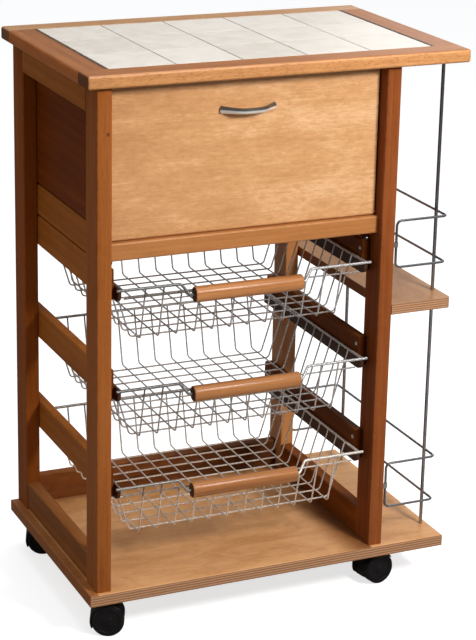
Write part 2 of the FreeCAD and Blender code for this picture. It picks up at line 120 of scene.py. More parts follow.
def lathe(profile, centre, axis, segments=48):
    # a (radius, place) profile turned round an axis:
    # centre + place * axis + radius * (cos a * east + sin a * north)
    profile = np.asarray(profile, float)
    axis = unit(axis)
    east = unit(np.cross(axis, askew))
    north = np.cross(axis, east)
    angle = np.linspace(0, 2 * np.pi, segments, endpoint=False)[None, :, None]
    spoke = np.cos(angle) * east + np.sin(angle) * north
    points = centre + profile[:, 1, None, None] * axis + profile[:, 0, None, None] * spoke
    return gridSurface(points)


def arcLine(centre, radius, start, end, count=6):
    # points on a circle in a flat profile, from one angle to another, in degrees
    angle = np.radians(np.linspace(start, end, count))
    return np.stack([centre[0] + radius * np.cos(angle), centre[1] + radius * np.sin(angle)], axis=1)


def roundedLoop(halfWidth, halfHeight, radius, steps=6):
    # a rectangle's outline with a quarter circle at each corner
    quarters = [(1, 1, 0), (-1, 1, 90), (-1, -1, 180), (1, -1, 270)]
    arcs = [
        arcLine((sx * (halfWidth - radius), sy * (halfHeight - radius)), radius, start, start + 90, steps)
        for sx, sy, start in quarters
    ]
    return np.concatenate(arcs)


def sweptArc(loop, centre, axis, east, start, end, steps=32):
    # a closed (place, radius) loop carried round an axis from one angle to another, with flat ends
    loop = np.asarray(loop, float)
    axis = unit(axis)
    north = np.cross(axis, east)
    angle = np.radians(np.linspace(start, end, steps))[:, None, None]
    spoke = np.cos(angle) * east + np.sin(angle) * north
    points = centre + loop[None, :, 0, None] * axis + loop[None, :, 1, None] * spoke
    return gridSurface(points, capped=True)


def addPiece(name, surfaces, material, body, replaced=(), sharpAngle=35):
    # several surfaces as one mesh: doubles merged, faces outward, smooth up to the sharp angle
    points, faces = [], []
    count = 0
    for surfacePoints, surfaceFaces in surfaces:
        faces += [[count + i for i in face] for face in surfaceFaces]
        points.append(surfacePoints)
        count += len(surfacePoints)
    mesh = bpy.data.meshes.new(name)
    mesh.from_pydata(np.concatenate(points).tolist(), [], faces)
    shell = bmesh.new()
    shell.from_mesh(mesh)
    bmesh.ops.remove_doubles(shell, verts=shell.verts, dist=mergeGap)
    bmesh.ops.recalc_face_normals(shell, faces=shell.faces)
    shell.to_mesh(mesh)
    shell.free()
    mesh.polygons.foreach_set("use_smooth", np.ones(len(mesh.polygons), bool))
    mesh.set_sharp_from_angle(angle=math.radians(sharpAngle))
    mesh.materials.append(material)
    piece = bpy.data.objects.new(name, mesh)
    scene.collection.objects.link(piece)
    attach(piece, body)
    if replaced:
        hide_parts(*replaced)


# shader helpers

class Flow:
    # one socket of a node tree; sums, differences and products of flows add Math nodes
    def __init__(self, tree, socket=None):
        self.tree = tree
        self.socket = socket

    def node(self, kind, settings=None, inputs=None, output=0):
        made = self.tree.nodes.new(kind)
        for key, value in (settings or {}).items():
            if key == "stops":
                setStops(made.color_ramp, value)
            else:
                setattr(made, key, value)
        for key, value in (inputs or {}).items():
            if isinstance(value, Flow):
                self.tree.links.new(value.socket, made.inputs[key])
            else:
                made.inputs[key].default_value = value
        return Flow(self.tree, made.outputs[output])

    def maths(self, operation, *values):
        return self.node("ShaderNodeMath", {"operation": operation}, dict(enumerate(values)))

    def __add__(self, other):
        return self.maths("ADD", self, other)

    def __radd__(self, other):
        return self.maths("ADD", other, self)

    def __sub__(self, other):
        return self.maths("SUBTRACT", self, other)

    def __rsub__(self, other):
        return self.maths("SUBTRACT", other, self)

    def __mul__(self, other):
        return self.maths("MULTIPLY", self, other)

    def __rmul__(self, other):
        return self.maths("MULTIPLY", other, self)

    def __abs__(self):
        return self.maths("ABSOLUTE", self)


def setStops(ramp, stops):
    for place, _ in stops[1:-1]:
        ramp.elements.new(place)
    for element, (place, colour) in zip(ramp.elements, stops):
        element.position = place
        element.color = (*colour, 1)


def newMaterial(name):
    material = bpy.data.materials.new(name)
    material.use_nodes = True
    return material, Flow(material.node_tree)


def fillShader(material, **inputs):
    # a name such as Base_Color stands for the shader's socket Base Color
    shader = material.node_tree.nodes["Principled BSDF"]
    for key, value in inputs.items():
        socket = shader.inputs[key.replace("_", " ")]
        if isinstance(value, Flow):
            material.node_tree.links.new(value.socket, socket)
        else:
            socket.default_value = value
    return material


def objectPlace(start):
    return start.node("ShaderNodeTexCoord", output="Object")


def mapped(place, scale, shift=(0, 0, 0)):
    return place.node("ShaderNodeMapping", inputs={"Vector": place, "Location": shift, "Scale": scale})


def noise(place, scale, detail=2.0, roughness=0.5, distortion=0.0):
    inputs = {"Scale": scale, "Detail": detail, "Roughness": roughness, "Distortion": distortion}
    return place.node("ShaderNodeTexNoise", inputs={"Vector": place, **inputs})


def step(value, low, high, start=0.0, end=1.0):
    # a smooth step: start below low, end above high
    inputs = {"Value": value, "From Min": low, "From Max": high, "To Min": start, "To Max": end}
    return value.node("ShaderNodeMapRange", {"interpolation_type": "SMOOTHSTEP"}, inputs)


def colourMix(first, second, factor, mode="MIX"):
    # a Mix node's sockets 0, 6 and 7 are its factor and its two colours, and its output 2 is the colour
    flow = next(item for item in (factor, first, second) if isinstance(item, Flow))
    settings = {"data_type": "RGBA", "blend_type": mode}
    return flow.node("ShaderNodeMix", settings, {0: factor, 6: first, 7: second}, 2)


def axisParts(vector):
    parts = vector.node("ShaderNodeSeparateXYZ", inputs={0: vector}).socket.node
    return [Flow(vector.tree, socket) for socket in parts.outputs]


def facingParts(start):
    return axisParts(start.node("ShaderNodeTexCoord", output="Normal"))


def bumped(height, strength, distance):
    inputs = {"Strength": strength, "Distance": distance, "Height": height}
    return height.node("ShaderNodeBump", inputs=inputs)


def tint(colour):
    return (*colour, 1.0)


# wood

tones = ("dark", "mid", "light", "pore", "worn")
plainWood = {"coat": 0.12, "coatRough": 0.2, "gloss": 0.35, "end": (0.42, 0.34, 0.30)}
frameLook = {
    **plainWood,
    "dark": (0.165, 0.037, 0.0040), "mid": (0.260, 0.068, 0.0090), "light": (0.350, 0.105, 0.0170),
    "pore": (0.070, 0.014, 0.002), "worn": (0.40, 0.15, 0.040), "ringGap": 16 * mm, "ringWarp": 5.0,
    "figure": 0.14, "mottle": 0.25, "contrast": 1.2, "lines": 0.25, "poreShare": 0.40, "roughness": 0.44,
    "coat": 0.0, "gloss": 0.06,
}
paleFrameLook = {
    **frameLook,
    "dark": (0.250, 0.073, 0.0100), "mid": (0.365, 0.115, 0.0195), "light": (0.460, 0.162, 0.0330),
    "pore": (0.125, 0.033, 0.006), "worn": (0.50, 0.22, 0.065),
}
# the rear rails are painted dark, a painted shade, and paler to the left
shadedRearLook = {
    **frameLook,
    "dark": (0.075, 0.025, 0.0080), "mid": (0.120, 0.042, 0.0140), "light": (0.300, 0.100, 0.0280),
    "pore": (0.035, 0.010, 0.003), "lean": -1.2,
}
worktopLook = {
    **plainWood,
    "dark": (0.250, 0.083, 0.019), "mid": (0.360, 0.125, 0.030), "light": (0.460, 0.178, 0.048),
    "pore": (0.105, 0.032, 0.007), "worn": (0.52, 0.25, 0.09), "ringGap": 9 * mm, "ringWarp": 6.0,
    "figure": 0.16, "mottle": 0.30, "contrast": 1.3, "lines": 0.40, "poreShare": 0.75, "roughness": 0.42,
    "coat": 0.30, "coatRough": 0.34, "gloss": 0.40, "lean": 0.22,
}
sillLook = {
    **plainWood,
    "dark": (0.350, 0.130, 0.036), "mid": (0.445, 0.180, 0.055), "light": (0.530, 0.235, 0.080),
    "pore": (0.17, 0.06, 0.018), "worn": (0.66, 0.38, 0.18), "ringGap": 14 * mm, "ringWarp": 4.0,
    "figure": 0.14, "mottle": 0.30, "contrast": 1.2, "lines": 0.30, "poreShare": 0.35, "roughness": 0.38,
}
flapLook = {
    **plainWood,
    "dark": (0.520, 0.255, 0.103), "mid": (0.635, 0.335, 0.148), "light": (0.775, 0.478, 0.262),
    "pore": (0.370, 0.165, 0.060), "worn": (0.75, 0.47, 0.24), "ringGap": 46 * mm, "ringWarp": 7.0,
    "figure": 0.06, "mottle": 0.62, "contrast": 1.12, "lines": 0.36, "poreShare": 0.60, "roughness": 0.38,
    # the lean paints the flap paler to the right, a painted gradient of light
    "lean": 0.55, "fleck": 0.55,
}
panelLook = {
    **plainWood,
    "dark": (0.545, 0.248, 0.085), "mid": (0.670, 0.336, 0.132), "light": (0.765, 0.415, 0.178),
    "pore": (0.330, 0.140, 0.045), "worn": (0.72, 0.45, 0.22), "ringGap": 36 * mm, "ringWarp": 7.0,
    "figure": 0.06, "mottle": 0.72, "contrast": 1.7, "lines": 0.28, "poreShare": 0.40, "roughness": 0.40,
    "fleck": 0.40,
}
gripLook = {
    **plainWood,
    "dark": (0.285, 0.098, 0.026), "mid": (0.410, 0.160, 0.048), "light": (0.510, 0.222, 0.076),
    "pore": (0.10, 0.028, 0.008), "worn": (0.45, 0.21, 0.08), "ringGap": 9 * mm, "ringWarp": 4.0,
    "figure": 0.16, "mottle": 0.20, "contrast": 1.2, "lines": 0.30, "poreShare": 0.30, "roughness": 0.30,
    "coat": 0.65, "end": (0.13, 0.08, 0.06),
}
shelfLook = {
    **panelLook,
    "dark": (0.350, 0.155, 0.056), "mid": (0.440, 0.215, 0.085), "light": (0.510, 0.265, 0.116),
    "pore": (0.200, 0.085, 0.030),
}
frontGain = (1.60, 2.10, 3.10)  # the worktop's front edge is worn pale
sideGain = (1.30, 1.02, 0.45)  # and its end faces are oiled to a warmer tone


def stained(look, gain):
    # the same wood in another tint, used for stains and for painted light and shade: each of its tones times
    # one colour
    return {**look, **{key: tuple(np.multiply(look[key], gain).tolist()) for key in tones}}


grainShape = {
    "shift": (0.173, 0.291, 0.127), "long": 0.07, "hair": 0.012, "dash": 0.11, "flame": 0.45, "fleck": 0.32,
    "zoneScale": 26.0, "flameScale": 24.0, "lineScale": 240.0, "fibreScale": 950.0, "poreScale": 1300.0,
    "fleckScale": 230.0, "ringUnit": 0.314, "fibreShare": 0.34, "poreShade": 0.55,
}


def woodTone(place, look, grain, seed):
    # long soft zones and a cross flame, growth rings round a pith line, wavy lines, fine fibres, dark pores:
    # each a noise drawn out along the grain by its own share, and their sum picks a tone from dark to light
    g = grainShape
    shift = tuple(seed * share for share in g["shift"])

    def drawn(kind):
        stretch = [1.0, 1.0, 1.0]
        stretch[grain] = g[kind]
        return mapped(place, stretch, shift)

    long = drawn("long")
    flame = noise(drawn("flame"), g["flameScale"], 4.0, 0.62, 0.8)
    zones = noise(long, g["zoneScale"], 3.0) * (1 - look["mottle"]) + flame * look["mottle"]
    zones = 0.5 + (zones - 0.5) * look["contrast"]
    lines = noise(long, g["lineScale"], 3.0, 0.6, 0.5)
    ringInputs = {
        "Vector": long, "Scale": g["ringUnit"] / look["ringGap"], "Distortion": look["ringWarp"],
        "Detail": 2.0, "Detail Scale": 0.35, "Detail Roughness": 0.55,
    }
    ringSettings = {"wave_type": "RINGS", "rings_direction": "XYZ"[grain], "wave_profile": "SAW"}
    rings = place.node("ShaderNodeTexWave", ringSettings, ringInputs, 1)
    fibres = noise(drawn("hair"), g["fibreScale"], 2.0, 0.6)
    pores = step(noise(drawn("dash"), g["poreScale"], 1.0), 0.58, 0.70)
    tone = zones * (1 - look["figure"]) + rings * look["figure"]
    tone = tone + (lines - 0.5) * look["lines"] + (fibres - 0.5) * g["fibreShare"]
    if "fleck" in look:
        flecks = noise(drawn("fleck"), g["fleckScale"], 2.0, 0.6, 0.4)
        tone = tone + (flecks - 0.5) * look["fleck"]
    # painted light: the lean tilts the tone across the board, a painted gradient of light
    if "lean" in look:
        tone = tone + axisParts(place)[0] * look["lean"]  # paler to the right, or to the left below 0
    stops = [(0.22, look["dark"]), (0.50, look["mid"]), (0.80, look["light"])]
    colour = place.node("ShaderNodeValToRGB", {"stops": stops}, {0: tone})
    colour = colourMix(colour, tint(look["pore"]), pores * (look["poreShare"] * g["poreShade"]))
    height = fibres * 0.5 - pores * 0.8
    return colour, fibres, height


def arrisMask(place, box, grain, reach):
    # 1 on the long edges of a board's box and 0 a little way in:
    # it falls with the larger of the two distances to the box's sides
    low, high = box
    spots = axisParts(place)
    sides = [i for i in range(3) if i != grain]
    gaps = [(high[i] - low[i]) / 2 - abs(spots[i] - (high[i] + low[i]) / 2) for i in sides]
    return step(gaps[0].maths("MAXIMUM", gaps[0], gaps[1]), 0.0, reach, 1.0, 0.0)


wearShape = {"arris": 3.5 * mm, "share": 0.26}
# the dark strip beside the tiles is painted shade of an open gap; the joint with the long rails is dirt
seamLook = {
    "beside": (3.2 * mm, 5.4 * mm), "besideShare": 0.92, "joint": (1.1 * mm, 0.3 * mm), "jointShare": 0.6,
    "gapShadeAndDirt": (0.035, 0.011, 0.004),
}


def woodFinish(name, look, grain, seed, box, knots=(), paleFront=False, field=None):
    # the wood's tone, then knots, a pale front, end grain, a painted shade of the open gap beside the tiled
    # field with dirt in the rail joints, and worn long edges
    material, start = newMaterial(name)
    place = objectPlace(start)
    facing = facingParts(start)
    colour, fibres, height = woodTone(place, look, grain, seed)
    for spot, radius in knots:
        gap = place.node("ShaderNodeVectorMath", {"operation": "DISTANCE"}, {0: place, 1: spot}, 1)
        gap = gap + (noise(place, 600.0) - 0.5) * radius
        colour = colourMix(colour, tint(look["pore"]), step(gap, radius * 0.35, radius * 1.6, 0.85, 0.0))
    if paleFront:
        front = step(abs(facing[1]), 0.45, 0.85)
        flecks = step(noise(mapped(place, (0.5, 1, 1), (seed, 0, 0)), 330.0, 3.0, 0.65), 0.52, 0.66)
        colour = colourMix(colour, tint(frontGain), front, "MULTIPLY")
        colour = colourMix(colour, tint(look["mid"]), front * flecks * 0.62)
    endGrain = step(abs(facing[grain]), 0.55, 0.9)
    sideways = step(abs(facing[0]), 0.5, 0.9)  # oiled, not lacquered
    colour = colourMix(colour, tint(look["end"]), endGrain, "MULTIPLY")
    if field is not None:
        spots = axisParts(place)
        colour = colourMix(colour, tint(sideGain), sideways, "MULTIPLY")
        # painted shade: the open gap beside the tiles is drawn as a dark strip on the end board; the joint
        # with the long rails is darkened as dirt
        near, far = seamLook["beside"]
        beside = step(abs(spots[0]), field[0] + near, field[0] + far, 1.0, 0.0)  # dark seam at the tiles
        wide, thin = seamLook["joint"]
        joint = step(abs(spots[1]), field[1] - wide, field[1] - thin)  # joint with the long rails
        gapShadeAndDirt = beside.maths("MAXIMUM", beside * seamLook["besideShare"], joint * seamLook["jointShare"])
        colour = colourMix(colour, tint(seamLook["gapShadeAndDirt"]), gapShadeAndDirt)
    worn = arrisMask(place, box, grain, wearShape["arris"]) * step(noise(place, 90.0, 3.0), 0.38, 0.62)
    colour = colourMix(colour, tint(look["worn"]), worn * wearShape["share"])
    rough = look["roughness"] + (fibres - 0.5) * 0.22 + worn * 0.10 + endGrain * 0.18
    return fillShader(
        material, Base_Color=colour, Roughness=rough, Normal=bumped(height, 0.22, 0.2 * mm),
        Coat_Weight=(1 - sideways) * look["coat"] if look["coat"] else 0.0,
        Coat_Roughness=look["coatRough"], Specular_IOR_Level=look["gloss"],
    )


plyLook = {
    "plies": 9, "endPly": (0.31, 0.145, 0.063), "longPly": (0.54, 0.300, 0.170), "glue": (0.19, 0.080, 0.032),
    "speck": (0.62, 0.55, 0.5), "leftStain": (0.75, 0.44, 0.10), "margin": (0.52, 0.38, 0.27),
    "marginFade": 5 * mm, "grime": (0.36, 0.28, 0.24), "railShadowReach": (4 * mm, 62 * mm),
    "railShadowFoot": (-2 * mm, -1 * mm),
}


def plywoodFinish(name, look, grain, seed, box, stainedMargin=None, grimeAt=None):
    # veneer on the broad faces; on the edges end grain and long grain take turns, with glue between the plies
    # the top may be darker along a margin on the left, of a given width; a painted shadow of the right bottom
    # rail lies left of a given x, darkest beside it
    material, start = newMaterial(name)
    place = objectPlace(start)
    spots = axisParts(place)
    facing = facingParts(start)
    colour, fibres, height = woodTone(place, look, grain, seed)
    low, high = box
    layer = (spots[2] - low[2]) * (plyLook["plies"] / (high[2] - low[2]))
    layer = layer + (noise(mapped(place, (1, 1, 0.2)), 60.0) - 0.5) * 0.16
    turn = step(abs(layer.maths("MODULO", layer + 0.5, 2.0) - 1.0), 0.42, 0.58)
    glue = step(abs(layer.maths("FRACT", layer) - 0.5), 0.40, 0.49)
    speck = noise(mapped(place, (1, 1, 2.5)), 700.0, 2.0)
    edge = colourMix(tint(plyLook["endPly"]), tint(plyLook["longPly"]), turn)
    edge = colourMix(edge, tint(plyLook["glue"]), glue * 0.45)
    edge = colourMix(edge, tint(plyLook["speck"]), step(speck, 0.5, 0.72), "MULTIPLY")
    leftward = step(0 - facing[0], 0.5, 0.9)
    edge = colourMix(edge, tint(plyLook["leftStain"]), leftward, "MULTIPLY")
    broad = step(abs(facing[2]), 0.35, 0.75)
    # the top is darker along the left edge, to the given width
    if stainedMargin is not None:
        margin = step(spots[0] - low[0], stainedMargin, stainedMargin + plyLook["marginFade"], 1.0, 0.0)
        colour = colourMix(colour, tint(plyLook["margin"]), margin, "MULTIPLY")
    # painted shadow of the right bottom rail on the base, darkest beside the rail
    if grimeAt is not None:
        gap = grimeAt - spots[0]
        grime = step(gap, *plyLook["railShadowReach"], 1.0, 0.0) * step(gap, *plyLook["railShadowFoot"])
        colour = colourMix(colour, tint(plyLook["grime"]), grime, "MULTIPLY")
    colour = colourMix(edge, colour, broad)
    rough = look["roughness"] + (fibres - 0.5) * 0.2 + (1 - broad) * 0.2
    relief = height * broad - (1 - broad) * (glue * 0.8 + speck * 0.5)
    return fillShader(
        material, Base_Color=colour, Roughness=rough, Normal=bumped(relief, 0.26, 0.22 * mm),
        Coat_Weight=look["coat"], Coat_Roughness=look["coatRough"], Specular_IOR_Level=look["gloss"],
    )


# glaze, grout, metal and plastic

tileLook = {
    "shade": (0.675, 0.615, 0.545), "pale": (0.785, 0.735, 0.670), "fleck": (0.57, 0.47, 0.37),
    "edge": (0.66, 0.66, 0.66), "fleckShare": 0.22, "cloudScale": 38.0, "fleckScale": 210.0,
    "rippleScale": 28.0, "coat": 0.15, "coatRough": 0.26,
}


def glazeFinish(origin, pitch):
    # every tile of the grid draws its own tone; soft clouds and small warm flecks lie in the glaze
    material, start = newMaterial("creamGlaze")
    place = objectPlace(start)
    cell = place.node("ShaderNodeVectorMath", {"operation": "SUBTRACT"}, {0: place, 1: origin})
    cell = place.node("ShaderNodeVectorMath", {"operation": "DIVIDE"}, {0: cell, 1: (pitch, pitch, 1.0)})
    cell = place.node("ShaderNodeVectorMath", {"operation": "FLOOR"}, {0: cell})
    chance = place.node("ShaderNodeTexWhiteNoise", {"noise_dimensions": "2D"}, {"Vector": cell})
    clouds = noise(place, tileLook["cloudScale"], 4.0, 0.6, 0.4)
    tone = clouds * 0.75 + chance * 0.30
    colour = colourMix(tint(tileLook["shade"]), tint(tileLook["pale"]), step(tone, 0.28, 0.78))
    flecks = step(noise(place, tileLook["fleckScale"], 3.0, 0.7), 0.63, 0.72)
    colour = colourMix(colour, tint(tileLook["fleck"]), flecks * tileLook["fleckShare"])
    ripple = noise(place, tileLook["rippleScale"], 2.0)
    level = step(facingParts(start)[2], 0.80, 0.99)  # the glaze is thin, dull and darker on the rolled edges
    colour = colourMix(colour, tint(tileLook["edge"]), 1 - level, "MULTIPLY")
    return fillShader(
        material, Base_Color=colour, Roughness=0.85 - level * (0.61 - clouds * 0.16),
        Normal=bumped(ripple, 0.18, 0.4 * mm), Coat_Weight=level * tileLook["coat"],
        Coat_Roughness=tileLook["coatRough"],
    )


groutLook = {
    "pale": (0.42, 0.385, 0.335), "deep": (0.28, 0.25, 0.205), "gap": (0.045, 0.022, 0.011),
    "sandScale": 900.0,
}


def groutFinish(fieldHalf, joint):
    # sandy grout between the tiles; along the end boards the joint is painted dark, as the shade of an open
    # gap
    material, start = newMaterial("sandGrout")
    place = objectPlace(start)
    sand = noise(place, groutLook["sandScale"], 3.0, 0.7)
    colour = colourMix(tint(groutLook["deep"]), tint(groutLook["pale"]), step(sand, 0.3, 0.7))
    # painted shade of the open gap along the end boards
    gapShade = step(abs(axisParts(place)[0]), fieldHalf - joint * 1.1, fieldHalf - joint * 0.9)
    colour = colourMix(colour, tint(groutLook["gap"]), gapShade)
    rough = 0.85 + (sand - 0.5) * 0.2
    return fillShader(material, Base_Color=colour, Roughness=rough, Normal=bumped(sand, 0.6, 0.3 * mm))


plateShape = {
    "cloudScale": 85.0, "grainScale": 1600.0, "fadeRise": 6 * mm, "fadeFull": -160 * mm, "fadeNone": 60 * mm,
}


def metalFinish(name, pale, deep, smooth, rough, metallic=1.0, floorReflection=None, leftRimShade=None):
    # bright plating with faint clouds; the clouds also dull it, and fine drawing lines ripple it
    # if given, a brighter tone is painted on the faces that look down, a painted reflection of the floor
    # if given, a height and a share: above that height the plating is painted darker towards the left, down
    # to the share, a painted shade on the rims
    p = plateShape
    material, start = newMaterial(name)
    place = objectPlace(start)
    clouds = noise(place, p["cloudScale"], 4.0, 0.65)
    grains = noise(place, p["grainScale"], 2.0)
    colour = colourMix(tint(pale), tint(deep), step(clouds, 0.35, 0.75))
    if floorReflection is not None:
        down = 0 - facingParts(start)[2]
        colour = colourMix(colour, tint(floorReflection), step(down, -0.22, 0.02))
    if leftRimShade is not None:
        height, share = leftRimShade
        spots = axisParts(place)
        # painted shade: above the height the plating darkens towards the left
        high = step(spots[2], height, height + p["fadeRise"])
        rimShade = high * step(spots[0], p["fadeFull"], p["fadeNone"], 1.0, 0.0)
        colour = colourMix(colour, tint((share, share, share)), rimShade, "MULTIPLY")
    roughness = smooth + step(clouds, 0.4, 0.8) * (rough - smooth) + (grains - 0.5) * 0.04
    return fillShader(
        material, Base_Color=colour, Metallic=metallic, Roughness=roughness,
        Normal=bumped(grains, 0.04, 0.05 * mm),
    )


mouldShape = {"pebbleScale": 1400.0, "patchScale": 70.0, "dustShare": 0.35, "gloss": 0.3}


def plasticFinish(name, colour, dust, roughness, grain):
    # moulded plastic: a fine spark-eroded grain, with dust that gathers in soft patches
    material, start = newMaterial(name)
    place = objectPlace(start)
    pebble = noise(place, mouldShape["pebbleScale"], 2.0)
    patches = step(noise(place, mouldShape["patchScale"], 4.0, 0.6), 0.48, 0.8)
    base = colourMix(tint(colour), tint(dust), patches * mouldShape["dustShare"])
    rough = roughness + patches * 0.18 + (pebble - 0.5) * 0.15
    return fillShader(
        material, Base_Color=base, Roughness=rough, Normal=bumped(pebble, grain, 0.12 * mm),
        Specular_IOR_Level=mouldShape["gloss"],
    )


rodSteel = metalFinish("rodSteel", (0.46, 0.465, 0.48), (0.34, 0.345, 0.36), 0.18, 0.26)
# the bow is painted dark above and pale below: a painted reflection of the dark room and the bright floor
bowChrome = metalFinish(
    "bowChrome", (0.17, 0.15, 0.13), (0.13, 0.115, 0.10), 0.07, 0.14, 0.65, floorReflection=(0.97, 0.95, 0.92)
)
brightSteel = metalFinish("brightSteel", (0.62, 0.61, 0.58), (0.44, 0.43, 0.41), 0.24, 0.46)
blackPlastic = plasticFinish("blackPlastic", (0.0045, 0.0042, 0.0050), (0.016, 0.014, 0.014), 0.40, 0.16)
treadRubber = plasticFinish("treadRubber", (0.0050, 0.0045, 0.0052), (0.020, 0.018, 0.017), 0.46, 0.20)
brownPlastic = plasticFinish("brownPlastic", (0.062, 0.026, 0.012), (0.115, 0.056, 0.029), 0.50, 0.20)
print("metal and plastic finishes made")


# every CAD node that stays takes a finish of its own

boardSeeds = np.random.default_rng(7).uniform(1.0, 9.0, 80)
boardCount = 0


def dress(node, material):
    mesh = nodes[node].data
    mesh.materials.clear()
    mesh.materials.append(material)


def dressWood(look, grain, *names, plywood=False, **extras):
    global boardCount
    for node in names:
        seed = float(boardSeeds[boardCount])
        boardCount += 1
        if plywood:
            dress(node, plywoodFinish("ply." + node, look, grain, seed, boxOf(node), **extras))
        else:
            dress(node, woodFinish("wood." + node, look, grain, seed, boxOf(node), **extras))


postKnots = [((-0.2675, -0.180, 0.782), 2.6 * mm)]  # place and radius
dressWood(worktopLook, 0, "worktop_rail_front", paleFront=True)
# the rear rail's tones are painted paler and greyer than the worktop's: a painted sheen
dressWood(stained(worktopLook, (1.28, 1.9, 3.4)), 0, "worktop_rail_rear")
dressWood(worktopLook, 1, "worktop_end_left", "worktop_end_right", field=boxOf("tile_bed")[1])
dressWood(stained(paleFrameLook, (0.88, 0.86, 1.15)), 2, "post_front_left", knots=postKnots)
dressWood(stained(paleFrameLook, (0.72, 0.58, 0.5)), 2, "post_rear_left")
dressWood(sillLook, 2, "post_rear_right")
dressWood(stained(frameLook, (0.94, 0.98, 1.9)), 2, "post_front_right")
# the sides' stains; the right basket rails are also painted darker, as painted shade
sideStainsAndShade = {
    "left": {"panel": (0.65, 0.5, 0.4), "wood": paleFrameLook, "bottom": (0.72, 0.80, 1.2), "basket": 1.0},
    "right": {"panel": 1.0, "wood": frameLook, "bottom": 0.8, "basket": 0.55},
}
for side, stain in sideStainsAndShade.items():
    dressWood(stained(frameLook, stain["panel"]), 1, "side_panel_" + side)
    dressWood(stain["wood"], 1, "apron_" + side, "compartment_rail_" + side)
    dressWood(stained(stain["wood"], stain["bottom"]), 1, "bottom_rail_" + side)
    basketRails = ["basket_rail_%s_%s" % (level, side) for level in levels]
    dressWood(stained(stain["wood"], stain["basket"]), 1, *basketRails)
dressWood(shadedRearLook, 0, "bottom_rail_rear", "head_rail")
dressWood(sillLook, 0, "flap_sill")
dressWood(flapLook, 0, "flap")
# the right bottom rail's painted shadow on the base reaches to the rail's left face
grimeAt = boxOf("bottom_rail_right")[0][0]
dressWood(panelLook, 0, "base_board", plywood=True, stainedMargin=11 * mm, grimeAt=grimeAt)
dressWood(shelfLook, 1, "bottle_shelf", plywood=True)
dressWood(panelLook, 0, "tile_bed", "compartment_floor", plywood=True)
dressWood(panelLook, 2, "compartment_back")
for node in ("flap_pins", "guard_clips", "catch_strike", "caster_plates"):
    dress(node, brightSteel)
for node in ("magnetic_catch", *["runners_" + level for level in levels]):
    dress(node, brownPlastic)
print("boards dressed:", boardCount)


# tiled field

tileShape = {
    "columns": 5, "rows": 3, "cornerRadius": 1.2 * mm, "leastCorner": 0.2 * mm, "edgeRadius": 0.55 * mm,
    "topInset": 2 * mm, "settle": 0.15 * mm, "leastSettle": 0.02, "slope": 0.0009,
}


def makeTiles():
    # rings of a rounded square climb the tile's side, roll over its edge and close on the flat top;
    # each tile is settled and sloped a little by chance
    s = tileShape
    low, high = boxOf("tiles")
    fieldLow, fieldHigh = boxOf("tile_bed")
    joint = low[0] - fieldLow[0]
    pitch = (high[0] - low[0] + joint) / s["columns"]
    half = (pitch - joint) / 2
    edge = s["edgeRadius"]
    roll = arcLine((edge, high[2] - edge), edge, 180, 90, 6)
    top = [(edge + s["topInset"], high[2]), (half * 0.5, high[2])]
    rings = np.concatenate([[(0.0, low[2])], roll, top])
    chance = np.random.default_rng(11)
    surfaces = []
    for row in range(s["rows"]):
        for column in range(s["columns"]):
            middle = np.array((low[0] + half + column * pitch, low[1] + half + row * pitch))
            drop = chance.uniform(s["leastSettle"], 1.0) * s["settle"]
            lean = chance.uniform(-1, 1, 2) * s["slope"]
            layers = []
            for inset, height in rings:
                corner = max(s["cornerRadius"] - inset, s["leastCorner"])
                loop = roundedLoop(half - inset, half - inset, corner, 5)
                tilt = loop @ lean
                lift = (tilt - np.abs(tilt).max() - drop) * (height > low[2])  # the foot stays on the bed
                layers.append(np.column_stack([loop + middle, height + lift]))
            surfaces.append(gridSurface(np.array(layers), capped=True))
    glaze = glazeFinish((fieldLow[0] + joint / 2, fieldLow[1] + joint / 2, 0.0), pitch)
    addPiece("glazed_tile_field", surfaces, glaze, "frame", ["tiles"])
    dress("tile_grout", groutFinish(fieldHigh[0], joint))


makeTiles()
print("tiles laid")


# wire baskets

basketShape = {
    "rimRadius": 2.25 * mm, "wireRadius": 1.25 * mm, "longWires": 12, "crossWires": 10, "pitch": 29 * mm,
    "sideLean": 28.75 * mm, "frontLean": 22.75 * mm, "backLean": 24 * mm, "depth": 86 * mm,
    "rimReach": 7.25 * mm, "gripDrop": 16 * mm, "gripForward": 7 * mm, "dipRun": 12 * mm,
    "floorBend": 7 * mm, "rimBend": 6 * mm, "cornerBend": 14 * mm, "weld": 0.35 * mm,
    "rimSides": 12, "wireSides": 8,
}
chromeLook = {
    "pale": (0.74, 0.73, 0.725), "deep": (0.64, 0.63, 0.62), "smooth": 0.25, "rough": 0.32, "metallic": 0.7,
    "rimDepth": 26 * mm, "rimShadeShare": 0.38,
}
wireLook = {
    # the lower basket's plating is painted paler and warmer, as painted light
    "lower": {**chromeLook, "pale": (0.93, 0.87, 0.80), "deep": (0.83, 0.76, 0.69), "metallic": 0.55},
    "middle": chromeLook, "upper": chromeLook,
}
gripShape = {
    "squareness": 2.2, "endRound": 2.2 * mm, "firstSeed": 2.3, "seedStep": 1.7,
    # the upper grip is painted paler, as painted light
    "stain": {"lower": 1.0, "middle": 0.97, "upper": (1.22, 1.30, 1.42)},
}


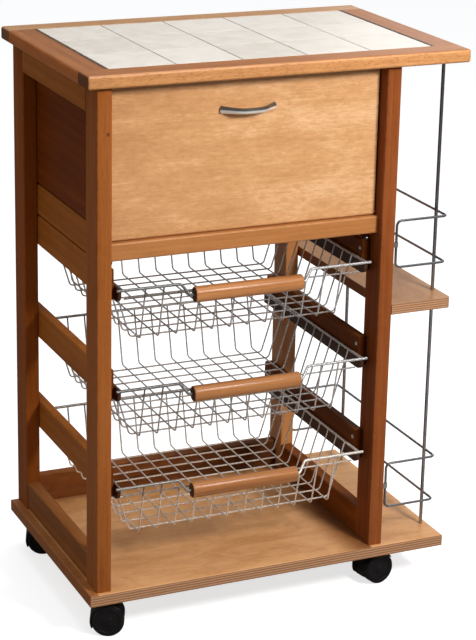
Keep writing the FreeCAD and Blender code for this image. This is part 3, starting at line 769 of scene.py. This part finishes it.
def makeBasket(level):
    # round wires along bent paths: a rim round back and sides, a dipped front rim, and U shaped floor wires
    low, high = boxOf("basket_" + level)
    gripLow, gripHigh = boxOf("basket_grip_" + level)
    s = basketShape
    wire, rim = s["wireRadius"], s["rimRadius"]
    middle = (low[0] + high[0]) / 2
    rimZ = (gripLow[2] + gripHigh[2]) / 2 + s["gripDrop"]
    rimHalf = (high[0] - low[0]) / 2 - s["rimReach"]
    gripY = (gripLow[1] + gripHigh[1]) / 2
    rimFront = gripY + s["gripForward"]
    rimBack = high[1] - rim
    floorZ = rimZ - s["depth"] - wire
    upperZ = floorZ + 2 * wire - s["weld"]
    floorHalf = rimHalf - s["sideLean"] - wire
    floorFront = rimFront + s["frontLean"] + wire
    floorBack = rimBack - s["backLean"] - wire
    inset = rim + wire - s["weld"]
    floorMiddle = (floorFront + floorBack) / 2
    longX = middle + (np.arange(s["longWires"]) - (s["longWires"] - 1) / 2) * s["pitch"]
    crossY = floorMiddle + (np.arange(s["crossWires"]) - (s["crossWires"] - 1) / 2) * s["pitch"]

    def spot(x, y, z):
        return middle + x, y, rimZ + z

    sideRim = [
        spot(-rimHalf, rimFront, 0), spot(-rimHalf, rimBack, 0),
        spot(rimHalf, rimBack, 0), spot(rimHalf, rimFront, 0),
    ]
    surfaces = [tube(bentPath(sideRim, s["cornerBend"]), rim, s["rimSides"])]
    gripHalf = (gripHigh[0] - gripLow[0]) / 2
    dipX = gripHalf + s["dipRun"] + s["rimBend"]
    dipEnd = dipX - s["dipRun"]
    tip = rimHalf + s["rimReach"]
    frontRim = [
        spot(-tip, rimFront, 0), spot(-dipX, rimFront, 0), spot(-dipEnd, gripY, -s["gripDrop"]),
        spot(dipEnd, gripY, -s["gripDrop"]), spot(dipX, rimFront, 0), spot(tip, rimFront, 0),
    ]
    surfaces.append(tube(bentPath(frontRim, s["rimBend"]), rim, s["rimSides"]))
    for y in crossY:
        bow = [
            (middle - rimHalf + inset, y, rimZ), (middle - floorHalf, y, floorZ),
            (middle + floorHalf, y, floorZ), (middle + rimHalf - inset, y, rimZ),
        ]
        surfaces.append(tube(bentPath(bow, s["floorBend"]), wire, s["wireSides"]))
    share = s["gripDrop"] / s["depth"]
    headFront = rimFront + inset
    lowFront = headFront + (floorFront - headFront) * share
    for x in longX:
        underGrip = abs(x - middle) < dipX
        head = (x, lowFront, rimZ - s["gripDrop"]) if underGrip else (x, headFront, rimZ)
        bow = [head, (x, floorFront, upperZ), (x, floorBack, upperZ), (x, rimBack - inset, rimZ)]
        surfaces.append(tube(bentPath(bow, s["floorBend"]), wire, s["wireSides"]))
    tieHalf = rimHalf - rim - s["sideLean"] * share
    tieY = lowFront + 2 * wire - s["weld"]
    tie = np.array([spot(-tieHalf, tieY, -s["gripDrop"]), spot(tieHalf, tieY, -s["gripDrop"])])
    surfaces.append(tube(tie, wire, s["wireSides"]))
    look = wireLook[level]
    # the rims are painted darker towards the left, as painted shade
    chrome = metalFinish(
        "chromeWire." + level, look["pale"], look["deep"], look["smooth"], look["rough"], look["metallic"],
        leftRimShade=(high[2] - look["rimDepth"], look["rimShadeShare"]),
    )
    body = "basket_" + level
    addPiece("wire_basket_" + level, surfaces, chrome, body, [body])


def makeGrip(level, seed):
    # a rounded bar: its section is a superellipse, drawn in to a soft edge at both ends
    low, high = boxOf("basket_grip_" + level)
    middle = (low + high) / 2
    half = (high - low) / 2
    angle = np.linspace(0, 2 * np.pi, 40, endpoint=False)
    power = 2 / gripShape["squareness"]
    across = np.sign(np.cos(angle)) * np.abs(np.cos(angle)) ** power * half[1]
    upward = np.sign(np.sin(angle)) * np.abs(np.sin(angle)) ** power * half[2]
    soft = gripShape["endRound"]
    inset = soft * (1 - np.sin(np.linspace(0, np.pi / 2, 6)))
    along = np.sort(np.concatenate([inset - half[0], half[0] - inset]))
    inwards = soft - np.minimum(half[0] - np.abs(along), soft)
    drawn = 1 - (soft - np.sqrt(np.maximum(soft**2 - inwards**2, 0))) / half[2]
    points = np.stack(
        [
            np.broadcast_to(middle[0] + along[:, None], (len(along), len(angle))),
            middle[1] + drawn[:, None] * across[None, :],
            middle[2] + drawn[:, None] * upward[None, :],
        ],
        axis=-1,
    )
    look = stained(gripLook, gripShape["stain"][level])
    wood = woodFinish("wood.grip_" + level, look, 0, seed, (low, high))
    bar = gridSurface(points, capped=True)
    replaced = ["basket_grip_" + level]
    addPiece("grip_bar_" + level, [bar], wood, "basket_" + level, replaced, sharpAngle=50)


for order, level in enumerate(levels):
    makeBasket(level)
    makeGrip(level, gripShape["firstSeed"] + gripShape["seedStep"] * order)
print("baskets woven")


# bottle rack

rackShape = {"guardRadius": 2.0 * mm, "guardFlats": 8, "guardBend": 8 * mm, "rodRadius": 2.75 * mm}


def makeRack():
    # each guard is one closed wire round eight corners; the rods are plain round bars
    radius, rodRadius = rackShape["guardRadius"], rackShape["rodRadius"]
    flat = radius * math.cos(math.pi / rackShape["guardFlats"])
    for level in ("lower", "upper"):
        name = "bottle_guard_" + level
        low, high = boxOf(name)
        x0, y0, z0 = low + flat
        x1, y1, z1 = high - flat
        loop = [
            (x0, y0, z0), (x0, y0, z1), (x1, y0, z1), (x1, y1, z1),
            (x0, y1, z1), (x0, y1, z0), (x1, y1, z0), (x1, y0, z0),
        ]
        wire = tube(bentPath(loop, rackShape["guardBend"], 8, closed=True), radius, 14, closed=True)
        addPiece("guard_wire_" + level, [wire], rodSteel, "frame", [name])
    low, high = boxOf("rack_rods")
    x = (low[0] + high[0]) / 2
    rods = []
    for y in (low[1] + rodRadius, high[1] - rodRadius):
        rods.append(tube(np.linspace((x, y, low[2]), (x, y, high[2]), 5), rodRadius, 20))
    addPiece("rack_rod_pair", rods, rodSteel, "frame", ["rack_rods"])


makeRack()
print("bottle rack wired")


# bow handle

bowShape = {
    "length": 84 * mm, "shoulder": 26 * mm, "bend": 30 * mm, "height": 4.3 * mm, "thickness": 3.1 * mm,
    "flare": 0.40,
}


def makeBow():
    # an oval bar along a bent path; its section is scaled by 1 + flare * t^4, t = -1 to 1, so its ends spread
    low, high = boxOf("flap_handle")
    b = bowShape
    middle = (low[0] + high[0]) / 2
    z = (low[2] + high[2]) / 2
    face = high[1]
    out = low[1] + b["thickness"]
    half = b["length"] / 2
    knee = half - b["shoulder"]
    turns = [(-half, face), (-knee, out), (knee, out), (half, face)]
    route = bentPath([(middle + x, y, z) for x, y in turns], b["bend"], 12)
    ends = np.linspace(route[0], route[1], 6)[:-1]
    route = np.concatenate([ends, route[1:-1], (ends * (-1, 1, 1) + (2 * middle, 0, 0))[::-1]])
    spread = 1 + b["flare"] * ((route[:, 0] - middle) / half) ** 4
    oval = b["height"] / b["thickness"]
    points, faces = tube(route, b["thickness"] * spread, 24, flatness=oval, across=alongZ)
    points[:, 1] = np.minimum(points[:, 1], face)  # the ends lie flat on the flap
    addPiece("bow_handle", [(points, faces)], bowChrome, "flap", ["flap_handle"])


makeBow()
print("bow handle bent")


# casters

casterShape = {
    "wheelRadius": 25 * mm, "wheelInner": 5.1 * mm, "wheelOuter": 20.1 * mm, "shoulder": 2.4 * mm,
    "edge": 1 * mm, "dishRadius": 19 * mm, "dish": 1.5 * mm, "capRadius": 7 * mm, "capStep": 1.2 * mm,
    "axleRadius": 2.5 * mm,
    "hoodInner": 25.8 * mm, "hoodOuter": 28.3 * mm, "hoodStart": 38, "hoodEnd": 205, "hoodRound": 0.46,
    "crownFall": 1.2 * mm, "crownFrom": 0.72, "crownEase": 0.078, "treadGap": 0.35 * mm,
    "web": 4.5 * mm, "webFoot": 5.5 * mm, "webSink": 0.6 * mm, "webRound": 0.8 * mm, "hubRadius": 8 * mm,
    "bossRadius": 8 * mm, "bossTop": 57.1 * mm, "bossHeight": 9 * mm, "bossSink": 14 * mm,
    "bossTaper": 1.5 * mm, "taperRise": 2 * mm,
}


def makeCaster(corner):
    # wheels, axle, hub and boss are turned profiles; hood and web are loops carried round the axle
    c = casterShape
    pivot = np.array(joints["swivel_%s_turn" % corner]["pos_m"])
    roll = joints["wheels_%s_roll" % corner]
    axle = np.array(roll["pos_m"])
    axis = unit(roll["axis"])
    trail = unit((axle - pivot) * (1, 1, 0))
    inner, outer, radius = c["wheelInner"], c["wheelOuter"], c["wheelRadius"]
    soft, edge, dish = c["shoulder"], c["edge"], c["dish"]
    profile = np.concatenate(
        [
            [(0, inner), (radius - edge, inner)],
            arcLine((radius - edge, inner + edge), edge, 270, 360, 4),
            arcLine((radius - soft, outer - soft), soft, 0, 90, 7),
            [(c["dishRadius"], outer)],
            arcLine((c["dishRadius"] - dish, outer), dish, 0, -90, 5),
            [(c["capRadius"] + c["capStep"], outer - dish)],
            arcLine((c["capRadius"] - edge, outer - edge), edge, 0, 90, 4),
            [(0, outer)],
        ]
    )
    wheels = [lathe(profile, axle, sign * axis, 56) for sign in (-1, 1)]
    thick, reach = c["axleRadius"], inner + edge
    axleBar = lathe([(0, -reach), (thick, -reach), (thick, reach), (0, reach)], axle, axis, 24)
    body, replaced = "wheels_" + corner, ["caster_wheels_" + corner]
    addPiece("twin_wheels_" + corner, [*wheels, axleBar], treadRubber, body, replaced)

    east = trail if np.cross(axis, trail)[2] > 0 else -trail
    start, end = c["hoodStart"], c["hoodEnd"]
    if east @ trail <= 0:
        start, end = 180 - end, 180 - start
    wall = c["hoodOuter"] - c["hoodInner"]
    crown = roundedLoop(outer, wall / 2, wall * c["hoodRound"], 5) + (0, c["hoodInner"] + wall / 2)
    ease = np.clip(np.abs(crown[:, 0]) / outer - c["crownFrom"], 0, 1) ** 2 / c["crownEase"]
    crown[:, 1] = np.maximum(crown[:, 1] - c["crownFall"] * ease, radius + c["treadGap"])
    deep = (c["hoodInner"] + c["webSink"] - c["webFoot"]) / 2
    web = roundedLoop(c["web"], deep, c["webRound"], 4) + (0, c["webFoot"] + deep)
    hub, wide = c["hubRadius"], c["web"]
    hubProfile = [(0, -wide), (hub, -wide), (hub, wide), (0, wide)]
    boss, top = c["bossRadius"], c["bossTop"]
    offset = np.linalg.norm((axle - pivot)[:2]) - boss
    foot = axle[2] + math.sqrt(c["hoodInner"] ** 2 - offset**2)
    foot = min(foot, top - c["bossHeight"]) - c["bossSink"]
    bossProfile = np.concatenate(
        [
            [(0, foot), (boss - c["bossTaper"], foot), (boss, foot + c["taperRise"])],
            arcLine((boss - edge, top - edge), edge, 0, 90, 5),
            [(0, top)],
        ]
    )
    surfaces = [
        sweptArc(crown, axle, axis, east, start, end, 40),
        sweptArc(web, axle, axis, east, start, end, 40),
        lathe(hubProfile, axle, axis, 32),
        lathe(bossProfile, (pivot[0], pivot[1], 0.0), alongZ, 36),
    ]
    body, replaced = "swivel_" + corner, ["caster_hood_" + corner]
    addPiece("hood_" + corner, surfaces, blackPlastic, body, replaced)


for corner in corners:
    makeCaster(corner)
print("casters turned")


# screws

screwShape = {
    "radius": 3.6 * mm, "rings": (0.0, 0.55, 1.1, 1.7, 2.3, 2.9, 3.4, 3.6), "dome": 1.0 * mm, "domeFall": 0.7,
    "slotHalf": 0.55 * mm, "slotReach": 2.2 * mm, "slotDepth": 0.9 * mm, "railShares": (0.28, 0.72),
    "plateSize": 0.85, "plateReach": 14.5 * mm, "plateThickness": 2.5 * mm,
    "backSize": 0.6, "backInset": 8 * mm, "backAlong": (0.03, 0.5, 0.97), "backUp": (0.35, 0.68, 0.95),
}


def screwHead(centre, outward, size=1.0):
    # height over (r, a): a dome 1 - fall * (r / R)^2, sunk where r cos a or r sin a lies in the cross slot
    s = screwShape
    outward = unit(outward)
    east = unit(np.cross(outward, askew))
    north = np.cross(outward, east)
    r = np.array(s["rings"])[:, None] * mm * size
    a = np.linspace(0, 2 * np.pi, 24, endpoint=False)[None, :]
    full, slotHalf = s["radius"] * size, s["slotHalf"] * size
    across = np.minimum(np.abs(r * np.cos(a)), np.abs(r * np.sin(a)))
    slot = np.clip((slotHalf * 1.5 - across) / slotHalf, 0, 1) * (r < s["slotReach"] * size)
    height = s["dome"] * size * (1 - s["domeFall"] * (r / full) ** 2) - s["slotDepth"] * size * slot
    height = np.where(r >= full * 0.99, 0.0, height)  # the rim lies on the face
    points = centre + r[..., None] * (np.cos(a)[..., None] * east + np.sin(a)[..., None] * north)
    return gridSurface(points + height[..., None] * outward, capped=True)


def makeScrews():
    # four heads on each basket rail, four under each caster plate and nine on the compartment's back
    s = screwShape
    heads = []
    postFront, postRear = boxOf("post_front_left"), boxOf("post_rear_left")
    for side, facing in (("left", alongX), ("right", -alongX)):
        for level in levels:
            low, high = boxOf("basket_rail_%s_%s" % (level, side))
            x = high[0] if side == "left" else low[0]
            for y in ((low[1] + postFront[1][1]) / 2, (postRear[0][1] + high[1]) / 2):
                for share in s["railShares"]:
                    heads.append(screwHead((x, y, low[2] + (high[2] - low[2]) * share), facing))
    addPiece("rail_screws", heads, brightSteel, "frame")

    heads = []
    reach = s["plateReach"]
    plateZ = boxOf("base_board")[0][2] - s["plateThickness"]
    for corner in corners:
        x, y = joints["swivel_%s_turn" % corner]["pos_m"][:2]
        for sx, sy in ((-1, -1), (1, -1), (1, 1), (-1, 1)):
            heads.append(screwHead((x + sx * reach, y + sy * reach, plateZ), -alongZ, s["plateSize"]))
    addPiece("caster_screws", heads, brightSteel, "frame")

    low, high = boxOf("compartment_back")
    inset = s["backInset"]
    spots = [(low[0] + (high[0] - low[0]) * share, low[2] + inset) for share in s["backAlong"]]
    for share in s["backUp"]:
        z = low[2] + (high[2] - low[2]) * share
        spots += [(low[0] + inset, z), (high[0] - inset, z)]
    heads = [screwHead((x, high[1], z), alongY, s["backSize"]) for x, z in spots]
    addPiece("back_screws", heads, brightSteel, "frame")


makeScrews()
print("screws driven")


# floor, light and camera

stageLook = {
    "floorHalf": 14.0, "pale": (0.55, 0.55, 0.553), "deep": (0.23, 0.22, 0.21), "glow": (0.72, 0.72, 0.722),
    "sandScale": 320.0,
}
skyLook = {"colour": (0.95, 0.975, 1.0), "horizon": 0.11, "zenith": 0.75, "seen": 1.06}
keyLamp = {"place": (0.60, -1.75, 1.58), "aim": (0.0, -0.1, 0.50), "size": 0.45, "colour": (1.0, 0.98, 0.95)}
lampLook = {
    "key": {**keyLamp, "power": 43.0, "glossy": False},
    "top": {
        "place": (0.1, 0.25, 3.0), "aim": (0.0, 0.0, 0.87), "size": 2.0,
        "colour": (1.0, 1.0, 1.0), "power": 33.0,
    },
    "fill": {
        "place": (-2.2, -0.7, 1.0), "aim": (-0.28, 0.0, 0.5), "size": 1.5,
        "colour": (1.0, 0.86, 0.68), "power": 6.5,
    },
    "back": {
        "place": (2.1, 2.65, 1.75), "aim": (0.28, 0.0, 0.87), "size": 1.1,
        "colour": (1.0, 0.97, 0.96), "power": 3.6,
    },
    "spark": {**keyLamp, "power": 19.0, "diffuse": False},  # the key's highlights, gentler than its light
}
cameraLook = {
    "frameSize": (476, 640), "focalPixels": 2042.912, "principal": (230, 260), "sensor": 36.0, "reach": 60.0,
    "yaw": -24.185, "pitch": 17.234, "roll": 1.161,
    "place": (-1246.014 * mm, -2782.693 * mm, 1463.418 * mm),
}


def viewMatrix(right, up, back, place):
    matrix = np.eye(4)
    matrix[:3, :4] = np.stack([right, up, back, place], axis=1)
    return Matrix(matrix.tolist())


def makeStage():
    # a flat grid, bright to the eye and darker to the light that it throws back on the cart
    half = stageLook["floorHalf"]
    spots = np.linspace(-half, half, 9)
    points = np.stack(np.meshgrid(spots, spots, [0.0], indexing="ij"), axis=-1)[:, :, 0]
    vertices, faces = gridSurface(points, wrapColumns=False)
    mesh = bpy.data.meshes.new("studio_floor")
    mesh.from_pydata(vertices.tolist(), [], [face[::-1] for face in faces])
    floor = bpy.data.objects.new("studio_floor", mesh)
    scene.collection.objects.link(floor)
    material, start = newMaterial("paleFloor")
    sand = noise(objectPlace(start), stageLook["sandScale"], 3.0)
    seen = start.node("ShaderNodeLightPath", output="Is Camera Ray")
    fillShader(
        material, Base_Color=colourMix(tint(stageLook["deep"]), tint(stageLook["pale"]), seen),
        Emission_Color=colourMix(tint((0.0, 0.0, 0.0)), tint(stageLook["glow"]), seen),
        Emission_Strength=1.0, Specular_IOR_Level=0.1,
        Roughness=0.88 + (sand - 0.5) * 0.1, Normal=bumped(sand, 0.05, 0.2 * mm),
    )
    mesh.materials.append(material)


def makeLight():
    # the sky grows from the horizon to the zenith with the square of the height; round lamps do the rest
    world = bpy.data.worlds.new("studio_sky")
    scene.world = world
    world.use_nodes = True
    background = world.node_tree.nodes["Background"]
    background.inputs["Color"].default_value = tint(skyLook["colour"])
    flow = Flow(world.node_tree)
    seen = flow.node("ShaderNodeLightPath", output="Is Camera Ray")
    height = axisParts(flow.node("ShaderNodeTexCoord", output="Generated"))[2]
    glow = skyLook["horizon"] + height * height * (skyLook["zenith"] - skyLook["horizon"])
    strength = glow + seen * (skyLook["seen"] - glow)
    world.node_tree.links.new(strength.socket, background.inputs["Strength"])
    for name, look in lampLook.items():
        light = bpy.data.lights.new(name + "_light", "AREA")
        light.shape = "DISK"
        light.size = look["size"]
        light.energy = look["power"]
        light.color = look["colour"]
        lamp = bpy.data.objects.new(name + "_light", light)
        scene.collection.objects.link(lamp)
        lamp.visible_diffuse = look.get("diffuse", True)
        lamp.visible_glossy = look.get("glossy", True)
        place = np.array(look["place"])
        back = unit(place - np.array(look["aim"]))
        right = unit(np.cross(alongY if abs(back[2]) > 0.9 else alongZ, back))
        lamp.matrix_world = viewMatrix(right, np.cross(back, right), back, place)


def makeCamera():
    # yaw, pitch and roll turn the camera; the photograph's own middle sets the shift
    look = cameraLook
    yaw, pitch, roll = np.radians([look["yaw"], look["pitch"], look["roll"]])
    back = np.array((np.sin(yaw) * np.cos(pitch), -np.cos(yaw) * np.cos(pitch), np.sin(pitch)))
    right = np.array((np.cos(yaw), np.sin(yaw), 0.0))
    up = np.cross(back, right)
    right, up = np.cos(roll) * right + np.sin(roll) * up, np.cos(roll) * up - np.sin(roll) * right
    wide, tall = look["frameSize"]
    lens = bpy.data.cameras.new("photo_camera")
    lens.sensor_width = look["sensor"]
    lens.lens = look["focalPixels"] * look["sensor"] / tall
    lens.shift_x = (wide / 2 - look["principal"][0]) / tall
    lens.shift_y = (look["principal"][1] - tall / 2) / tall
    lens.clip_end = look["reach"]
    camera = bpy.data.objects.new("photo_camera", lens)
    scene.collection.objects.link(camera)
    camera.matrix_world = viewMatrix(right, up, back, np.array(look["place"]))
    scene.camera = camera


makeStage()
makeLight()
makeCamera()
scene.view_settings.view_transform = "Standard"
print("stage, light and camera set")

bpy.context.view_layer.update()
